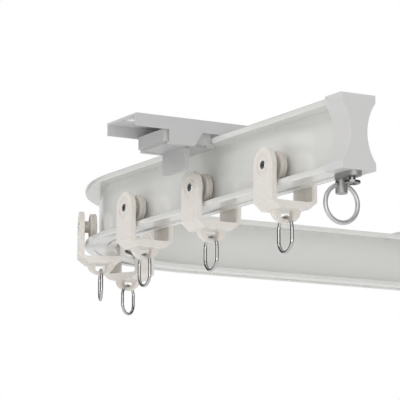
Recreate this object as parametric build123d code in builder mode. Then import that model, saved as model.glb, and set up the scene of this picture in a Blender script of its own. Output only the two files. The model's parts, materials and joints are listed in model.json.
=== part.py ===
from build123d import *
import os
from math import cos, pi, sin

# Ceiling-fixed curtain rail with one quarter-turn bend.
#
# Axes: +Z up, z = 0 is the ceiling.  The origin is on the ceiling, over the rail's
# centreline, in the middle of the first bracket.  The first leg runs along Y (its free
# end towards -Y), turns right through the bend and leaves along +X.
# Every size is in millimetres.

# ---- sizes of the rail -------------------------------------------------------------
rail_height = 30.0
rail_width = 15.6
flange_thickness = 2.7
web_thickness = 1.4
web_fillet = 2.2
flange_round = 0.8
groove_width = 6.4
groove_depth = 0.5
leg_length = 295.5              # free end of one leg to the centreline of the other
bend_radius = 90.5              # to the rail's centreline
rail_drop = 7.0                 # ceiling to the top of the rail

# ---- sizes of the fittings ---------------------------------------------------------
bracket_station = 117.0         # distance of a bracket from its leg's free end
far_bracket_station = 40.0
bracket_outer_reach = 46.2      # from the rail's centreline, on the outside of the bend
bracket_inner_reach = 20.0
bracket_width = 27.4
sheet = 1.0
side_depth = 5.7                # height of the bracket's plain side walls
guide_depth = 11.9              # height of the side walls where they guide the clamp
guide_outer = 29.5
guide_inner = 16.9
guide_slope = 4.0
guide_lip = 2.0
fixing_hole = 6.4
outer_fixing_reach = 41.5
inner_fixing_reach = 14.0
clamp_reach = 32.0
clamp_corner = 2.0
clamp_side_gap = 0.4
clamp_run_gap = 0.1
rail_side_gap = 0.3             # clamp to the side of the rail
wall_gap = 0.5                  # bracket's inner wall to the side of the rail
claw_grip = 1.9
claw_thickness = 2.0
claw_root = 2.0
foot_setback = 1.5
tab_reach = 20.0
tab_thickness = 2.2
tab_width = 20.5
tab_drop = 10.2
tab_corner = 1.6
tab_root = 0.5
tab_hollow = 0.6                # depth of the thumb hollow
hollow_margin = 2.0

cap_wall = 0.55
cap_length = 12.0
cap_face = 1.6                  # closed end wall
cap_chamfer = 0.3
cap_waist = 4.3                 # half width of the cap at mid height
cap_shoulder = 3.1              # straight part of the cap's side, from its top corner
fit_gap = 0.05                  # between pieces fixed to each other

stop_length = 14.9
stop_width = 6.4
stop_plate = 2.05
stop_start = 0.7
boss_diameter = 5.0
boss_drop = 6.0                 # below the plate
boss_round = 0.5
boss_neck = 0.4                 # height and depth of the groove under the plate
end_ring_diameter = 17.5
end_ring_wire = 1.9
end_ring_inset = 13.0
end_ring_hang = 2.15            # underside of the plate to the middle of the ring's wire
end_ring_play = 0.7             # room above the ring in the boss
screw_inset = 5.3
screw_shank = 2.8
screw_head = 6.8
screw_head_height = 1.3
screw_head_drop = 1.8           # shank showing between the plate and the head
screw_slot = 0.8
screw_slot_length = 3.8

# ---- sizes of one glider -----------------------------------------------------------
glider_gap = 17.6               # clear width between the arms
arm_thickness = 2.4
arm_width = 15.0
wheel_ride = 0.05               # between the wheels and the bottom flange
bar_below_rail = 6.0            # top of the cross bar, below the rail
bar_thickness = 3.3
bar_chamfer = 4.2
corner_round = 1.2
eye_width = 13.4
eye_depth = 5.3
eye_thickness = 3.2
eye_opening = 5.6
eye_band = 1.7                  # what is left under the opening
hang_gap = 0.2                  # oval ring to the band it hangs on
wheel_diameter = 13.2
wheel_width = 3.3
wheel_inset = 2.6               # inner face of the wheel, from the rail's centreline
hub_diameter = 5.8
tread_groove = 0.9
tread_depth = 0.3
wheel_corner = 0.8
wheel_dish = 0.6
dish_diameter = 10.0
pin_diameter = 2.5
pin_head = 3.8
pin_head_height = 0.4
pin_bore = 1.2
pin_bore_depth = 3.0
run_gap = 0.08                  # running clearance of the wheels and rings
recess_diameter = 9.8
recess_depth = 0.5
collar_diameter = 6.2
collar_height = 0.25
bead_width = 1.3
bead_height = 0.35
oval_width = 12.0
oval_height = 16.4
oval_wire = 1.5
glider_stations = [55.9, 118.2, 180.7, 239.0, 300.2]     # along the rail, from its near free end

# ---- worked out from the sizes above -----------------------------------------------
straight_length = leg_length - bend_radius
bend_length = bend_radius * pi / 2
rail_top = -rail_drop
rail_middle = rail_top - rail_height / 2
rail_bottom = rail_top - rail_height
free_end = -bracket_station
bend_start = free_end + straight_length
back_line = free_end + leg_length
axle_height = rail_bottom + flange_thickness + wheel_ride + wheel_diameter / 2


def rail_frame(station):
    """Ceiling frame at a distance along the rail: x to the inside of the bend, y onward."""
    turn = min(max((station - straight_length) / bend_radius, 0), pi / 2)
    before = min(station, straight_length)
    after = max(station - straight_length - bend_length, 0)
    x = bend_radius * (1 - cos(turn)) + after
    y = free_end + before + bend_radius * sin(turn)
    return Plane(origin=(x, y, 0), x_dir=(cos(turn), -sin(turn), 0), z_dir=(0, 0, 1))


def placed(frame, plane):
    """The same plane, measured in a frame standing on the rail."""
    return frame * plane.location


def end_frame(station, inward):
    """Frame on a free end at mid height: x across, y up, z into the leg."""
    at_end = rail_frame(station)
    across = at_end.x_dir * -inward
    return Plane(origin=at_end.origin + Vector(0, 0, rail_middle), x_dir=across, z_dir=at_end.y_dir * inward)


def rail_section(plane, grow=0.0):
    """The I-shaped section of the rail, grown by a clearance where it has to slide over."""
    with BuildSketch(plane) as section:
        Rectangle(rail_width, rail_height)
        with GridLocations((rail_width + web_thickness) / 2, 0, 2, 1):
            Rectangle((rail_width - web_thickness) / 2, rail_height - 2 * flange_thickness, mode=Mode.SUBTRACT)
        corners = section.vertices().group_by(lambda v: round(abs(v.X), 3))
        fillet(corners[-1], flange_round)
        fillet(corners[0], web_fillet)
        if grow == 0:
            with GridLocations(0, rail_height, 1, 2):
                Rectangle(groove_width, 2 * groove_depth, mode=Mode.SUBTRACT)
        else:
            offset(amount=grow)
    return section.sketch


def save(piece, name):
    piece.label = name
    export_step(piece, f"parts/{name}.step")


os.makedirs("parts", exist_ok=True)
total_length = 2 * straight_length + bend_length
ends = {"near": end_frame(0, 1), "far": end_frame(total_length, -1)}
brackets = {"near": rail_frame(bracket_station), "far": rail_frame(total_length - far_bracket_station)}

# ---- rail: one extrusion, bent once ------------------------------------------------
with BuildPart() as rail:
    with BuildLine() as route:
        first = Line((0, free_end + cap_face, rail_middle), (0, bend_start, rail_middle))
        bend = JernArc(first @ 1, first % 1, bend_radius, -90)
        Line(bend @ 1, (leg_length - cap_face, back_line, rail_middle))
    section = rail_section(Plane(first @ 0, x_dir=(-1, 0, 0), z_dir=(0, 1, 0)))
    sweep(section, path=route.line)
    for frame in ends.values():
        with BuildSketch(placed(frame, Plane.XZ.offset(rail_height / 2 + groove_depth))):
            with Locations((0, screw_inset)):
                Circle(screw_shank / 2 + fit_gap)
        extrude(amount=-(flange_thickness + 2 * groove_depth), mode=Mode.SUBTRACT)
save(rail.part, "rail")


# ---- end caps ----------------------------------------------------------------------
def end_cap(frame):
    half_width = rail_width / 2 + cap_wall
    half_height = rail_height / 2 + cap_wall
    shoulder = half_height - cap_shoulder
    with BuildPart() as cap:
        with BuildSketch(frame):
            with BuildLine():
                top = Line((-half_width, half_height), (half_width, half_height))
                right = Line(top @ 1, (half_width, shoulder))
                inward = ThreePointArc(right @ 1, (cap_waist, 0), (half_width, -shoulder))
                below = Line(inward @ 1, (half_width, -half_height))
                under = Line(below @ 1, (-half_width, -half_height))
                left = Line(under @ 1, (-half_width, -shoulder))
                back = ThreePointArc(left @ 1, (-cap_waist, 0), (-half_width, shoulder))
                Line(back @ 1, top @ 0)
            make_face()
        extrude(amount=cap_length)
        face = cap.faces().sort_by(lambda f: frame.to_local_coords(f.center()).Z)[0]
        chamfer(face.edges(), cap_chamfer)
        pocket = rail_section(frame.offset(cap_face), fit_gap)
        extrude(pocket, amount=cap_length, mode=Mode.SUBTRACT)
        with BuildSketch(placed(frame, Plane.XZ.offset(half_height + cap_wall))):
            with Locations((0, screw_inset)):
                Circle(screw_shank / 2 + fit_gap)
        extrude(amount=-3 * cap_wall, mode=Mode.SUBTRACT)
    return cap.part


for side, frame in ends.items():
    save(end_cap(frame), f"{side}_end_cap")


# ---- end stops: plate with a boss, its screw and its ring --------------------------
plate_top = -(rail_height / 2 + cap_wall)
plate_bottom = plate_top - stop_plate
ring_middle_radius = (end_ring_diameter - end_ring_wire) / 2
ring_dip = ring_middle_radius - (ring_middle_radius ** 2 - boss_diameter ** 2 / 4) ** 0.5
boss_hole = end_ring_wire + ring_dip + end_ring_play
ring_top = plate_bottom - end_ring_hang


def stop_body(frame):
    hole_height = ring_top - end_ring_wire / 2 - ring_dip - run_gap + boss_hole / 2
    with BuildPart() as body:
        with BuildSketch(placed(frame, Plane.XZ.offset(-plate_bottom))):
            with Locations((0, end_ring_inset)):
                Circle(boss_diameter / 2)
        extrude(amount=boss_drop)
        rim = body.edges().filter_by(GeomType.CIRCLE).sort_by(Axis.Z)[0]
        fillet(rim, boss_round)
        with BuildSketch(placed(frame, Plane.XZ.offset(-plate_bottom))):
            with Locations((0, end_ring_inset)):
                Circle(boss_diameter)
                Circle(boss_diameter / 2 - boss_neck, mode=Mode.SUBTRACT)
        extrude(amount=boss_neck, mode=Mode.SUBTRACT)
        with BuildSketch(placed(frame, Plane.YZ)):
            with Locations((hole_height, end_ring_inset)):
                Circle(boss_hole / 2)
        extrude(amount=boss_diameter, both=True, mode=Mode.SUBTRACT)
        with BuildSketch(placed(frame, Plane.XZ.offset(-plate_top))):
            with Locations((0, stop_start + stop_length / 2)):
                SlotOverall(stop_length, stop_width, rotation=90)
        extrude(amount=stop_plate)
        with BuildSketch(placed(frame, Plane.XZ.offset(-plate_bottom))):
            with Locations((0, screw_inset)):
                Circle(screw_shank / 2 + fit_gap)
        extrude(amount=-stop_plate, mode=Mode.SUBTRACT)
    return body.part


def stop_screw(frame):
    head_top = plate_bottom - screw_head_drop
    tip = -(rail_height / 2 - flange_thickness)
    with BuildPart() as screw:
        with BuildSketch(placed(frame, Plane.XZ.offset(-head_top))):
            with Locations((0, screw_inset)):
                Circle(screw_head / 2)
        extrude(amount=screw_head_height)
        rim = screw.edges().filter_by(GeomType.CIRCLE).sort_by(Axis.Z)[0]
        fillet(rim, screw_head_height / 2)
        with BuildSketch(placed(frame, Plane.XZ.offset(-head_top))):
            with Locations((0, screw_inset)):
                Circle(screw_shank / 2)
        extrude(amount=-(tip - head_top))
        with BuildSketch(placed(frame, Plane.XZ.offset(-head_top + screw_head_height))):
            with Locations((0, screw_inset)):
                Rectangle(screw_slot_length, screw_slot)
                Rectangle(screw_slot, screw_slot_length)
        extrude(amount=-screw_head_height / 2, mode=Mode.SUBTRACT)
    return screw.part


def stop_ring(frame):
    with BuildPart() as ring:
        with BuildSketch(placed(frame, Plane.YZ)):
            with Locations((ring_top, end_ring_inset)):
                Circle(end_ring_wire / 2)
        centre = frame.from_local_coords((0, ring_top - ring_middle_radius, end_ring_inset))
        revolve(axis=Axis(centre, frame.z_dir), revolution_arc=360)
    return ring.part


for side, frame in ends.items():
    save(stop_body(frame), f"{side}_stop")
    save(stop_screw(frame), f"{side}_stop_screw")
    save(stop_ring(frame), f"{side}_stop_ring")


# ---- ceiling brackets: channel and sliding clamp -----------------------------------
flange_under = rail_top - flange_thickness
half_bracket = bracket_width / 2
half_rail = rail_width / 2
lip_top = sheet - guide_depth


def bracket_channel(frame):
    inner_wall = half_rail + wall_gap
    side_view = [
        (-bracket_outer_reach, 0),
        (bracket_inner_reach, 0),
        (bracket_inner_reach, -side_depth),
        (inner_wall + claw_grip + guide_slope, -guide_depth),
        (half_rail - claw_grip, -guide_depth),
        (half_rail - claw_grip, flange_under),
        (inner_wall, flange_under),
        (inner_wall, -side_depth),
        (-(guide_inner - guide_slope), -side_depth),
        (-guide_inner, -guide_depth),
        (-guide_outer, -guide_depth),
        (-guide_outer, -side_depth),
        (-bracket_outer_reach, -side_depth),
    ]
    with BuildPart() as channel:
        with BuildSketch(placed(frame, Plane.XZ)):
            with BuildLine():
                Polyline(*side_view, close=True)
            make_face()
        extrude(amount=half_bracket, both=True)
        with BuildSketch(placed(frame, Plane.YZ.offset(-bracket_outer_reach))):
            with Locations((0, -sheet - guide_depth / 2)):
                Rectangle(bracket_width - 2 * sheet, guide_depth)
        extrude(amount=bracket_outer_reach + bracket_inner_reach, mode=Mode.SUBTRACT)
        with BuildSketch(placed(frame, Plane.XY.offset(-guide_depth))):
            with Locations((-(guide_outer + guide_inner) / 2, 0)):
                with GridLocations(0, bracket_width - sheet - guide_lip, 1, 2):
                    Rectangle(guide_outer - guide_inner, sheet + guide_lip)
        extrude(amount=lip_top + guide_depth)
        with BuildSketch(frame):
            with Locations((-outer_fixing_reach, 0), (inner_fixing_reach, 0)):
                Circle(fixing_hole / 2)
        extrude(amount=-sheet, mode=Mode.SUBTRACT)
    return channel.part


def bracket_clamp(frame):
    block_bottom = lip_top + clamp_run_gap
    block_top = rail_side_gap - side_depth
    block_half = half_bracket - sheet - clamp_side_gap
    foot_half = block_half - guide_lip - clamp_side_gap
    foot_reach = clamp_reach - foot_setback
    inner_face = half_rail + rail_side_gap
    claw_tip = inner_face - claw_grip
    claw_back = inner_face + claw_root
    claw_top = flange_under - clamp_run_gap
    claw_bottom = claw_top - claw_thickness
    tab_bottom = claw_bottom - tab_drop
    hollow_radius = (tab_width ** 2 / 4 + tab_hollow ** 2) / (2 * tab_hollow)
    with BuildPart() as clamp:
        # Block that runs between the bracket's sides, on top of its lips.
        with BuildSketch(placed(frame, Plane.XY.offset(block_bottom))):
            with Locations((-(clamp_reach + inner_face) / 2, 0)):
                Rectangle(clamp_reach - inner_face, 2 * block_half)
        extrude(amount=block_top - block_bottom)
        outer_corners = clamp.edges().filter_by(Axis.Z).sort_by(lambda e: frame.to_local_coords(e.center()).X)[:2]
        fillet(outer_corners, clamp_corner)
        # Foot between the lips, and the claw that holds the rail's top flange.
        with BuildSketch(placed(frame, Plane.XY.offset(claw_bottom))):
            with Locations((-(foot_reach + inner_face) / 2, 0)):
                Rectangle(foot_reach - inner_face, 2 * foot_half)
        extrude(amount=block_bottom - claw_bottom)
        with BuildSketch(placed(frame, Plane.XY.offset(claw_bottom))):
            with Locations((-(claw_back + claw_tip) / 2, 0)):
                Rectangle(claw_back - claw_tip, 2 * block_half)
        extrude(amount=claw_thickness)
        # Thumb tab, slightly hollow on the outside.
        with BuildSketch(placed(frame, Plane.YZ.offset(-tab_reach))):
            with Locations((0, (claw_bottom + tab_root + tab_bottom) / 2)):
                RectangleRounded(tab_width, tab_drop + tab_root, tab_corner)
        extrude(amount=tab_thickness)
        with BuildSketch(placed(frame, Plane.XY.offset(tab_bottom))):
            with Locations((-(tab_reach + hollow_radius - tab_hollow), 0)):
                Circle(hollow_radius)
        extrude(amount=tab_drop - hollow_margin, mode=Mode.SUBTRACT)
    return clamp.part


for side, frame in brackets.items():
    save(bracket_channel(frame), f"{side}_bracket")
    save(bracket_clamp(frame), f"{side}_bracket_clamp")


# ---- gliders -----------------------------------------------------------------------
bar_top = rail_bottom - bar_below_rail
bar_bottom = bar_top - bar_thickness
half_gap = glider_gap / 2
half_yoke = half_gap + arm_thickness
half_arm = arm_width / 2
eye_bottom = bar_bottom - eye_depth
opening_bottom = eye_bottom + eye_band
wheel_outer = wheel_inset + wheel_width
collar_face = half_yoke - recess_depth + collar_height
arm_top = axle_height + half_arm
bead_top = axle_height - hub_diameter / 3
oval_top = opening_bottom + hang_gap + oval_wire / 2
same_place = 0.01


def across(frame, edge):
    """How far an edge lies from the rail's centreline, to either side."""
    return abs((edge.center() - frame.origin).dot(frame.x_dir))


def yoke(frame):
    outline = [
        (-half_yoke, arm_top),
        (-half_yoke, bar_top),
        (-half_yoke + bar_chamfer, bar_bottom),
        (half_yoke - bar_chamfer, bar_bottom),
        (half_yoke, bar_top),
        (half_yoke, arm_top),
        (half_gap, arm_top),
        (half_gap, bar_top),
        (-half_gap, bar_top),
        (-half_gap, arm_top),
    ]
    with BuildPart() as body:
        # Stirrup: a U bent under the rail, its arms rounded about the axle.
        with BuildSketch(placed(frame, Plane.XZ)):
            with BuildLine():
                Polyline(*outline, close=True)
            make_face()
        extrude(amount=half_arm, both=True)
        corners = body.edges().filter_by(lambda e: abs(e.center().Z - bar_top) < same_place)
        fillet(corners.filter_by(lambda e: abs(across(frame, e) - half_gap) < same_place), corner_round)
        with BuildSketch(placed(frame, Plane.YZ.offset(-half_yoke))):
            with Locations((0, axle_height)):
                Circle(half_arm)
            with Locations((0, (axle_height + bar_bottom) / 2)):
                Rectangle(arm_width, axle_height - bar_bottom)
        extrude(amount=2 * half_yoke, mode=Mode.INTERSECT)
        for way in (-1, 1):
            # Round recess and collar about each axle.
            with BuildSketch(placed(frame, Plane.YZ.offset(way * half_yoke))):
                with Locations((0, axle_height)):
                    Circle(recess_diameter / 2)
                    Circle(collar_diameter / 2, mode=Mode.SUBTRACT)
            extrude(amount=-way * recess_depth, mode=Mode.SUBTRACT)
            with BuildSketch(placed(frame, Plane.YZ.offset(way * collar_face))):
                with Locations((0, axle_height)):
                    Circle(collar_diameter / 2)
            extrude(amount=way * (half_yoke - collar_face), mode=Mode.SUBTRACT)
            with BuildSketch(placed(frame, Plane.YZ.offset(way * half_gap))):
                with Locations((0, axle_height)):
                    Circle(pin_diameter / 2 + fit_gap)
            extrude(amount=way * arm_thickness, mode=Mode.SUBTRACT)
            # Raised beads that stiffen the front and back edges of the arms.
            with BuildSketch(placed(frame, Plane.XZ.offset(way * half_arm))):
                with GridLocations(2 * half_gap + arm_thickness, 0, 2, 1):
                    with Locations((0, (bead_top + bar_top) / 2)):
                        SlotOverall(bead_top - bar_top, bead_width, rotation=90)
            extrude(amount=way * bead_height)
        # Eye under the bar.
        with BuildSketch(placed(frame, Plane.XZ)):
            with Locations((0, bar_bottom)):
                Ellipse(eye_width / 2, eye_depth)
            with Locations((0, bar_bottom + eye_depth)):
                Rectangle(eye_width, 2 * eye_depth, mode=Mode.SUBTRACT)
            with Locations((0, (bar_bottom + opening_bottom) / 2)):
                Rectangle(eye_opening, bar_bottom - opening_bottom, mode=Mode.SUBTRACT)
        extrude(amount=eye_thickness / 2, both=True)
        lower = body.edges().filter_by(Axis(frame.origin, frame.y_dir))
        lower = lower.filter_by(lambda e: abs(e.center().Z - opening_bottom) < same_place)
        fillet(lower, eye_opening / 4)
        sill = body.edges().filter_by(Axis(frame.origin, frame.x_dir))
        sill = sill.filter_by(lambda e: abs(e.center().Z - opening_bottom) < same_place)
        fillet(sill, eye_thickness / 6)
    return body.part


def wheel(frame, way):
    with BuildPart() as body:
        with BuildSketch(placed(frame, Plane.YZ.offset(way * wheel_inset))):
            with Locations((0, axle_height)):
                Circle(wheel_diameter / 2)
        extrude(amount=way * wheel_width)
        fillet(body.edges().filter_by(GeomType.CIRCLE), wheel_corner)
        with BuildSketch(placed(frame, Plane.YZ.offset(way * (wheel_inset + wheel_width / 2)))):
            with Locations((0, axle_height)):
                Circle(wheel_diameter)
                Circle(wheel_diameter / 2 - tread_depth, mode=Mode.SUBTRACT)
        extrude(amount=tread_groove / 2, both=True, mode=Mode.SUBTRACT)
        with BuildSketch(placed(frame, Plane.YZ.offset(way * wheel_outer))):
            with Locations((0, axle_height)):
                Circle(dish_diameter / 2)
                Circle(hub_diameter / 2, mode=Mode.SUBTRACT)
        extrude(amount=-way * wheel_dish, mode=Mode.SUBTRACT)
        with BuildSketch(placed(frame, Plane.YZ.offset(way * wheel_outer))):
            with Locations((0, axle_height)):
                Circle(hub_diameter / 2)
        extrude(amount=way * (half_gap - run_gap - wheel_outer))
        with BuildSketch(placed(frame, Plane.YZ.offset(way * wheel_inset))):
            with Locations((0, axle_height)):
                Circle(pin_diameter / 2 + run_gap)
        extrude(amount=way * (half_gap - wheel_inset), mode=Mode.SUBTRACT)
    return body.part


def pins(frame):
    inner_end = wheel_inset - run_gap
    with BuildPart() as body:
        for way in (-1, 1):
            with BuildSketch(placed(frame, Plane.YZ.offset(way * inner_end))):
                with Locations((0, axle_height)):
                    Circle(pin_diameter / 2)
            extrude(amount=way * (collar_face - inner_end))
            with BuildSketch(placed(frame, Plane.YZ.offset(way * collar_face))):
                with Locations((0, axle_height)):
                    Circle(pin_head / 2)
            extrude(amount=way * pin_head_height)
            with BuildSketch(placed(frame, Plane.YZ.offset(way * inner_end))):
                with Locations((0, axle_height)):
                    Circle(pin_head / 2)
            extrude(amount=-way * pin_head_height)
            rims = body.edges().filter_by(GeomType.CIRCLE)
            rims = rims.filter_by(lambda e: abs(across(frame, e) - collar_face - pin_head_height) < same_place)
            rims = rims.filter_by(lambda e: way * (e.center() - frame.origin).dot(frame.x_dir) > 0)
            fillet(rims, pin_head_height / 2)
            with BuildSketch(placed(frame, Plane.YZ.offset(way * (collar_face + pin_head_height)))):
                with Locations((0, axle_height)):
                    Circle(pin_bore / 2)
            extrude(amount=-way * pin_bore_depth, mode=Mode.SUBTRACT)
    return body.part


def oval_ring(frame):
    half = (oval_width - oval_wire) / 2
    high = oval_top - half
    low = oval_top - (oval_height - oval_wire) + half
    with BuildPart() as body:
        with BuildLine(placed(frame, Plane.YZ)) as loop:
            Line((half, low), (half, high))
            ThreePointArc((half, high), (0, high + half), (-half, high))
            Line((-half, high), (-half, low))
            ThreePointArc((-half, low), (0, low - half), (half, low))
        with BuildSketch(Plane(origin=loop.line @ 0, z_dir=loop.line % 0)):
            Circle(oval_wire / 2)
        sweep(path=loop.line)
    return body.part


for number, station in enumerate(glider_stations, start=1):
    frame = rail_frame(station)
    save(yoke(frame), f"glider_{number}_yoke")
    save(wheel(frame, -1), f"glider_{number}_outer_wheel")
    save(wheel(frame, 1), f"glider_{number}_inner_wheel")
    save(pins(frame), f"glider_{number}_pins")
    save(oval_ring(frame), f"glider_{number}_oval_ring")
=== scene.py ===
# %% [markdown]
# A curtain rail that is fixed to the ceiling and turns a corner.
#
# The rail is an aluminium extrusion with an I-shaped section, and its white coating is
# glossy.  Brackets hold its top flange, plastic caps close its ends, and two-wheeled
# gliders run on its bottom flange.  Each glider carries an oval wire ring.  Every one of
# those pieces has its exact shape already, so this lesson is about finishes: how white
# metal, white plastic, zinc and chrome are told apart although most of them are white
# or grey.

# %% Load the pieces
import bpy
import json
from mathutils import Matrix, Vector

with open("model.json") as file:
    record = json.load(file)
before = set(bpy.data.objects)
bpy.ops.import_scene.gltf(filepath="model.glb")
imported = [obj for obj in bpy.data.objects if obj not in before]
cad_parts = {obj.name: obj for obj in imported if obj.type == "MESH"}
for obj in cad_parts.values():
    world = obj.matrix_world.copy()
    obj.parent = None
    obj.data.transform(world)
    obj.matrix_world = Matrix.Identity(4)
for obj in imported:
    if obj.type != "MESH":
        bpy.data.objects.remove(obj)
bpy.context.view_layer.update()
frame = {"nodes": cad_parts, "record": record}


# %% [markdown]
# Shader maths reads best as a sum.  A Wire stands for one socket of a material, and
# writing 1 - mask, or streaks * 0.5 + dust, adds the Math nodes that work it out.
# A Finish is one material.  Its node method adds any other node: first the settings that
# decide what the node does, then the values or wires of its sockets.

# %% Wires and finishes
class Wire:
    """One socket of a material.  A sum with wires in it becomes Math nodes."""

    def __init__(self, finish, socket):
        self.finish = finish
        self.socket = socket

    def maths(self, operation, first, second):
        return self.finish.node("ShaderNodeMath", {"operation": operation}, {0: first, 1: second})

    def __add__(self, other):
        return self.maths("ADD", self, other)

    def __sub__(self, other):
        return self.maths("SUBTRACT", self, other)

    def __rsub__(self, other):
        return self.maths("SUBTRACT", other, self)

    def __mul__(self, other):
        return self.maths("MULTIPLY", self, other)

    def __pow__(self, other):
        return self.maths("POWER", self, other)

    __radd__ = __add__
    __rmul__ = __mul__


class Finish:
    """A material, built node by node around one Principled shader."""

    def __init__(self, name, **constants):
        self.material = bpy.data.materials.new(name)
        self.material.use_nodes = True
        self.nodes = self.material.node_tree.nodes
        self.links = self.material.node_tree.links
        self.shader = self.nodes["Principled BSDF"]
        for socket, value in constants.items():
            self.shader.inputs[socket.replace("_", " ")].default_value = value

    def node(self, kind, settings, values, output=0):
        made = self.nodes.new(kind)
        for setting, value in settings.items():
            if setting == "stops":
                for stop, (place, shade) in zip(made.color_ramp.elements, value):
                    stop.position = place
                    stop.color = (shade, shade, shade, 1)
            else:
                setattr(made, setting, value)
        for socket, value in values.items():
            if isinstance(value, Wire):
                self.links.new(value.socket, made.inputs[socket])
            else:
                made.inputs[socket].default_value = value
        return Wire(self, made.outputs[output])

    def feed(self, **wires):
        for socket, wire in wires.items():
            self.links.new(wire.socket, self.shader.inputs[socket.replace("_", " ")])

    def place(self, scale=(1, 1, 1)):
        """Where a point of the piece is, in metres, stretched by scale."""
        spot = self.node("ShaderNodeTexCoord", {}, {}, "Object")
        return self.node("ShaderNodeVectorMath", {"operation": "MULTIPLY"}, {0: spot, 1: scale})

    def grain(self, scale, detail=2.0, where=None):
        """Noise from 0 to 1, with about scale spots to a metre."""
        spot = where or self.place()
        return self.node("ShaderNodeTexNoise", {}, {"Vector": spot, "Scale": scale, "Detail": detail})

    def steps(self, wire, low, high):
        """0 below low, 1 above high, and smooth between."""
        values = {"Value": wire, "From Min": low, "From Max": high}
        return self.node("ShaderNodeMapRange", {"interpolation_type": "SMOOTHSTEP"}, values)

    def blend_colours(self, mask, first, second):
        return self.node("ShaderNodeMix", {"data_type": "RGBA"}, {0: mask, 6: (*first, 1), 7: (*second, 1)}, 2)

    def bump(self, height, depth, strength=1.0):
        """Normals for a relief of that depth in metres."""
        values = {"Height": height, "Distance": depth, "Strength": strength}
        self.feed(Normal=self.node("ShaderNodeBump", {}, values))


finishes = {}


# %% [markdown]
# The rail is drawn through a die, and the die leaves faint lines that run the whole
# length of the bar and round the bend with it.  To draw them, a point has to know how
# far it is from the middle of the rail.  On a straight leg that is one coordinate; in the
# bend it is the distance from the bend's centre.  One formula covers both: a leg is
# beside the bend's centre in only one direction, so the other difference is clipped to 0.
# Noise that depends on that distance and on the height alone is the same all along.
#
# The coating itself is a thick gloss.  Two things give it away: a slight orange peel,
# seen as waviness in the reflections, and a clear top layer, which is the coat.

# %% Rail coating
bend_centre = (0.0905, 0.088)
bend_radius = 0.0905
rail_white = (0.86, 0.86, 0.835)
rail_shade = (0.83, 0.83, 0.80)


def across_rail(finish):
    """Distance of a point from the line through the bend's centre, less the bend radius."""
    spot = finish.place()
    x = finish.node("ShaderNodeSeparateXYZ", {}, {"Vector": spot}, "X")
    y = finish.node("ShaderNodeSeparateXYZ", {}, {"Vector": spot}, "Y")
    beside_x = x.maths("MAXIMUM", bend_centre[0] - x, 0.0)
    beside_y = y.maths("MAXIMUM", y - bend_centre[1], 0.0)
    reach = (beside_x * beside_x + beside_y * beside_y) ** 0.5
    return bend_radius - reach


def die_lines(finish, scale):
    """Noise that only changes across the section, so it runs along the rail as lines."""
    z = finish.node("ShaderNodeSeparateXYZ", {}, {"Vector": finish.place()}, "Z")
    section = finish.node("ShaderNodeCombineXYZ", {}, {"X": across_rail(finish), "Y": z})
    return finish.grain(scale, 3.0, section)


rail = Finish("rail_coating", IOR=1.52, Coat_Weight=1.0, Coat_Roughness=0.09, Coat_IOR=1.55)
lines = die_lines(rail, 2600)
peel = rail.grain(420, 1.5)
dust = rail.grain(38, 4.0)
dusty = rail.steps(dust, 0.3, 0.75)
rail_gloss = 0.16
peel_depth = 0.000018
rail.feed(Base_Color=rail.blend_colours(lines * 0.5 + dust * 0.5, rail_shade, rail_white))
rail.feed(Roughness=dusty * 0.07 + lines * 0.05 + rail_gloss)
rail.bump(peel * 0.8 + lines * 0.2, peel_depth)
finishes["rail_coating"] = rail
print("rail coating: die lines follow a bend of", round(bend_radius * 1000, 1), "mm")


# %% [markdown]
# The bracket is pressed from coated sheet.  Pressing leaves no lines, and its coating is
# thinner and more matt than the rail's, so it has only a fine texture and soft patches
# where the coating is a little rougher.

# %% Bracket coating
bracket = Finish("bracket_coating", IOR=1.5, Coat_Weight=0.15, Coat_Roughness=0.2)
bracket_grey = (0.66, 0.665, 0.66)
bracket_shade = (0.62, 0.625, 0.62)
bracket_gloss = 0.34
texture = bracket.grain(1500, 2.0)
patches = bracket.grain(55, 3.0)
bracket.feed(Base_Color=bracket.blend_colours(patches, bracket_shade, bracket_grey))
bracket.feed(Roughness=patches * 0.12 + texture * 0.05 + bracket_gloss)
bracket.bump(texture, 0.00002)
finishes["bracket_coating"] = bracket
print("bracket coating: roughness from", bracket_gloss)


# %% [markdown]
# Moulded plastic shows its mould: a faint spark-eroded texture, slow swirls of colour
# where the melt met, and edges that are handled to a light shine.  The same recipe makes
# the caps, the clamps, the stirrups and the wheels.  Only the colour, the gloss and the
# coarseness of the mould differ, so it is a function.  Light that goes a little way into
# the plastic softens its shadows, which is why some subsurface is set.  The stirrups are
# a warmer white than the caps: partly their own tint, partly painted shade, the tan their
# faces take where they lie in shadow.

# %% Moulded plastics
def moulded(name, light, dark, gloss, coarse):
    """A white plastic: light and dark end its swirl, gloss is its least roughness."""
    plastic = Finish(name, IOR=1.49, Subsurface_Weight=0.08, Subsurface_Scale=0.002)
    swirl = plastic.grain(70, 1.0)
    mould = plastic.grain(coarse, 2.0)
    handling = plastic.steps(plastic.grain(90, 1.0), 0.4, 0.7)
    plastic.feed(Base_Color=plastic.blend_colours(swirl * 0.8 + mould * 0.2, dark, light))
    plastic.feed(Roughness=handling * 0.04 + mould * 0.04 + gloss)
    plastic.bump(mould, 0.000012)
    finishes[name] = plastic


moulded("cap_plastic", light=(0.72, 0.72, 0.71), dark=(0.70, 0.70, 0.69), gloss=0.36, coarse=1800)
# Painted shade: the clamps' mid grey is a white plastic darkened to the tone it has inside the bracket.
moulded("clamp_plastic", light=(0.57, 0.575, 0.57), dark=(0.54, 0.545, 0.54), gloss=0.26, coarse=1600)
# Painted shade, in part: the stirrups' tan tint is the tone their faces take in shadow.
moulded("glider_plastic", light=(0.87, 0.835, 0.785), dark=(0.86, 0.825, 0.77), gloss=0.24, coarse=1400)
moulded("wheel_plastic", light=(0.73, 0.69, 0.64), dark=(0.69, 0.65, 0.60), gloss=0.34, coarse=1700)
print("moulded plastics:", sorted(name for name in finishes if "plastic" in name))
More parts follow.
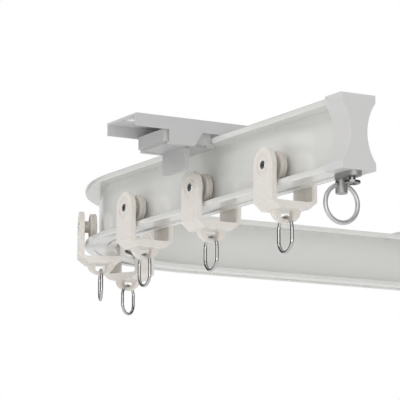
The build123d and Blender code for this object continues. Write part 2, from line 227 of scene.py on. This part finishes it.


# %% [markdown]
# The end stop is drawn as zinc and left grey, but that grey is painted shade: it is the
# tone a white stop shows where it lies in shadow.  The round ring in it is plated wire of
# a lighter satin grey.  Satin metal has a broad, soft reflection: the roughness is high,
# and very fine grain breaks it up.  Both have a dull layer over the metal, so they are
# only partly metallic; bare says how much of the metal shows through it.

# %% Satin grey metals
def satin_metal(name, light, dark, rough, bare):
    metal = Finish(name, Metallic=bare, IOR=1.5)
    grain = metal.grain(2400, 3.0)
    cloud = metal.grain(120, 3.0)
    metal.feed(Base_Color=metal.blend_colours(cloud * 0.7 + grain * 0.3, dark, light))
    metal.feed(Roughness=grain * 0.12 + cloud * 0.08 + rough)
    metal.bump(grain, 0.00002)
    finishes[name] = metal


# Painted shade: the end stop's dark grey is the tone a white stop shows in shadow.
satin_metal("stop_zinc", light=(0.44, 0.44, 0.43), dark=(0.39, 0.39, 0.38), rough=0.34, bare=0.6)
satin_metal("end_ring_steel", light=(0.68, 0.68, 0.675), dark=(0.63, 0.63, 0.625), rough=0.30, bare=0.6)
print("satin metals: stop_zinc and end_ring_steel")


# %% [markdown]
# Chrome has hardly any colour of its own.  It is a mirror, so what makes it look like
# chrome is the room: bright light beside darkness.  The finish only adds what use adds,
# short scuffs that blur the mirror in places and a faint unevenness of the plating.
# The screw is chrome too, and the same recipe is given a dark tone: painted reflection, the dark mirror image
# on its head.

# %% Chromes
def chrome(name, tone, scuffing):
    plated = Finish(name, Metallic=1.0, IOR=1.5)
    scuffs = plated.grain(900, 4.0, plated.place((1, 1, 0.15)))
    haze = plated.grain(260, 2.0)
    marks = plated.steps(scuffs, 0.55, 0.72)
    plated.feed(Base_Color=plated.blend_colours(haze, (tone * 0.93,) * 3, (tone, tone, tone * 1.01)))
    plated.feed(Roughness=marks * scuffing + haze * 0.04 + 0.05)
    plated.bump(scuffs, 0.000006)
    finishes[name] = plated


chrome("pin_chrome", tone=0.92, scuffing=0.10)
# Painted shade: the rings' lower tone darkens their mirror, a dimmer copy of the pins' chrome.
chrome("ring_chrome", tone=0.62, scuffing=0.03)
# Painted reflection: the screw's dark tone stands in for the dark mirror image on its chrome head.
chrome("screw_steel", tone=0.30, scuffing=0.06)
print("finishes so far:", len(finishes))


# %% [markdown]
# The record says which finish each piece has.  The pieces keep their own shapes: only
# their material is set.

# %% Give every piece its finish
for part in frame["record"]["subparts"]:
    piece = frame["nodes"][part["node"]]
    piece.data.materials.clear()
    piece.data.materials.append(finishes[part["material_slot"]].material)
    for face in piece.data.polygons:
        face.material_index = 0


# %% [markdown]
# The camera is set low and looks up a little, as one looks at a rail on the ceiling, and
# it stands far away with a long lens, so that the two legs keep their proportions.

# %% Camera
eye = Vector((-0.472235, -0.814809, -0.196261))
right = Vector((0.86791, -0.49672, 0.00292))
ahead = Vector((0.48894, 0.85533, 0.17132))
up = right.cross(ahead)
lens = bpy.data.cameras.new("camera")
lens.lens = 192.5
lens.sensor_width = 36
lens.clip_end = 20
camera = bpy.data.objects.new("camera", lens)
turned = Matrix((right, up, -ahead)).transposed().to_4x4()
camera.matrix_world = Matrix.Translation(eye) @ turned
bpy.context.scene.collection.objects.link(camera)
bpy.context.scene.camera = camera
print("camera:", round((eye - Vector((0, 0, 0))).length, 2), "m from the first bracket")


# %% [markdown]
# A studio for white things is mostly white, with dark cards where a side has to look
# darker than its neighbour.  The room here is drawn in the world, in three layers:
#
# - What lights the pieces: soft light from everywhere, a little more from below, with
#   dark cards at the left, behind the viewer, high in front and behind the object.
# - What the pieces mirror: a dark room with one broad window behind the viewer and a
#   dimmer doorway opposite.  Chrome wire shows the window as a bright core between dark
#   edges, which is what makes it read as chrome.
# - What the camera sees behind the object: plain white.
#
# A direction is a vector, and a card or window is the set of directions within some
# angle of its middle.  The cosine of that angle is the dot product of the two, so edge
# and full are cosines: at edge the card begins, and at full it has its full strength.

# %% Room and lights
scene = bpy.context.scene
scene.view_settings.view_transform = "Standard"
world = bpy.data.worlds.new("studio")
scene.world = world
world.use_nodes = True
sky = world.node_tree
sky.nodes.clear()


def room_node(kind, settings, values):
    made = sky.nodes.new(kind)
    for setting, value in settings.items():
        setattr(made, setting, value)
    for socket, value in values.items():
        if isinstance(value, bpy.types.NodeSocket):
            sky.links.new(value, made.inputs[socket])
        else:
            made.inputs[socket].default_value = value
    return made.outputs


def facing(direction, edge, full):
    """0 away from a direction and 1 near it, with a soft edge between two cosines."""
    product = {"operation": "DOT_PRODUCT"}
    cosine = room_node("ShaderNodeVectorMath", product, {0: looking, 1: direction})["Value"]
    values = {"Value": cosine, "From Min": edge, "From Max": full}
    return room_node("ShaderNodeMapRange", {"interpolation_type": "SMOOTHSTEP"}, values)[0]


def darker(level, card, amount):
    """The room's brightness with a dark card put into it."""
    lit = room_node("ShaderNodeMath", {"operation": "MULTIPLY_ADD"}, {0: card, 1: -amount, 2: 1.0})[0]
    return room_node("ShaderNodeMath", {"operation": "MULTIPLY"}, {0: level, 1: lit})[0]


def either(choice, first, second):
    """first where choice is 0, second where it is 1."""
    return room_node("ShaderNodeMix", {"data_type": "FLOAT"}, {0: choice, 2: first, 3: second})[0]


looking = room_node("ShaderNodeTexCoord", {}, {})["Generated"]
rays = room_node("ShaderNodeLightPath", {}, {})

# What lights the pieces.
light_from_below = 1.34
light_from_above = 1.0
dark_cards = [
    # middle of the card, edge, full, share of the light it takes away
    ((-0.97, -0.24, 0.05), 0.90, 0.96, 0.97),
    ((0.20, -0.97, 0.10), 0.90, 0.96, 0.97),
    ((-0.45, -0.60, 0.66), 0.88, 0.95, 0.97),
    ((0.0, 1.0, 0.0), 0.90, 0.98, 0.6),
    ((0.86, 0.50, 0.0), 0.93, 0.97, 0.97),
]
height = room_node("ShaderNodeSeparateXYZ", {}, {"Vector": looking})["Z"]
up_and_down = {"Value": height, "From Min": -1.0, "From Max": 1.0}
up_and_down |= {"To Min": light_from_below, "To Max": light_from_above}
level = room_node("ShaderNodeMapRange", {}, up_and_down)[0]
for direction, edge, full, amount in dark_cards:
    level = darker(level, facing(direction, edge, full), amount)

# What the pieces mirror.
room_dark = 0.11
window_bright = 1.8
doorway_share = 0.36
window = facing((-0.49, -0.86, -0.17), 0.72, 0.84)
doorway = facing((0.49, 0.86, 0.17), 0.86, 0.96)
both = {0: doorway, 1: doorway_share, 2: window}
openings = room_node("ShaderNodeMath", {"operation": "MULTIPLY_ADD"}, both)[0]
shades = {"Value": openings, "To Min": room_dark, "To Max": window_bright}
mirrored = room_node("ShaderNodeMapRange", {}, shades)[0]

# What the camera sees behind the object.
plain_white = 1.0
strength = either(rays["Is Camera Ray"], either(rays["Is Glossy Ray"], level, mirrored), plain_white)
background = room_node("ShaderNodeBackground", {}, {"Color": (1, 1, 1, 1), "Strength": strength})[0]
room_node("ShaderNodeOutputWorld", {}, {"Surface": background})
print("dark cards in the room:", len(dark_cards))


def soft_light(name, spot, target, size, power):
    """A square soft light at spot, turned to face target."""
    lamp = bpy.data.lights.new(name, "AREA")
    lamp.size = size
    lamp.energy = power
    holder = bpy.data.objects.new(name, lamp)
    holder.location = spot
    holder.rotation_euler = (Vector(target) - Vector(spot)).to_track_quat("-Z", "Y").to_euler()
    scene.collection.objects.link(holder)


# The front light gives rounded edges a crisp highlight.  The high one puts a soft shade
# on the web, under the top flange.
soft_light("front_light", (-0.75, -1.3, -0.45), target=(0.1, 0.0, -0.03), size=0.35, power=2.4)
soft_light("high_light", (-1.1, -0.6, 0.85), target=(0.05, 0.0, -0.03), size=0.6, power=3.2)


# %% [markdown]
# The floor lies well under the rail, as it does in a room, and is a pale matt grey with
# a faint mottle, like a painted board.

# %% Floor
floor_depth = -0.45
floor_half = 1.6
floor_mesh = bpy.data.meshes.new("floor")
corners = [(-floor_half, -floor_half, floor_depth), (floor_half, -floor_half, floor_depth),
           (floor_half, floor_half, floor_depth), (-floor_half, floor_half, floor_depth)]
floor_mesh.from_pydata(corners, [], [(0, 1, 2, 3)])
floor = bpy.data.objects.new("floor", floor_mesh)
scene.collection.objects.link(floor)
board = Finish("floor_board", Roughness=0.8)
mottle = board.grain(9, 4.0)
board.feed(Base_Color=board.blend_colours(mottle, (0.84, 0.84, 0.84), (0.87, 0.87, 0.87)))
floor_mesh.materials.append(board.material)
print("floor:", round(-floor_depth, 2), "m under the ceiling")
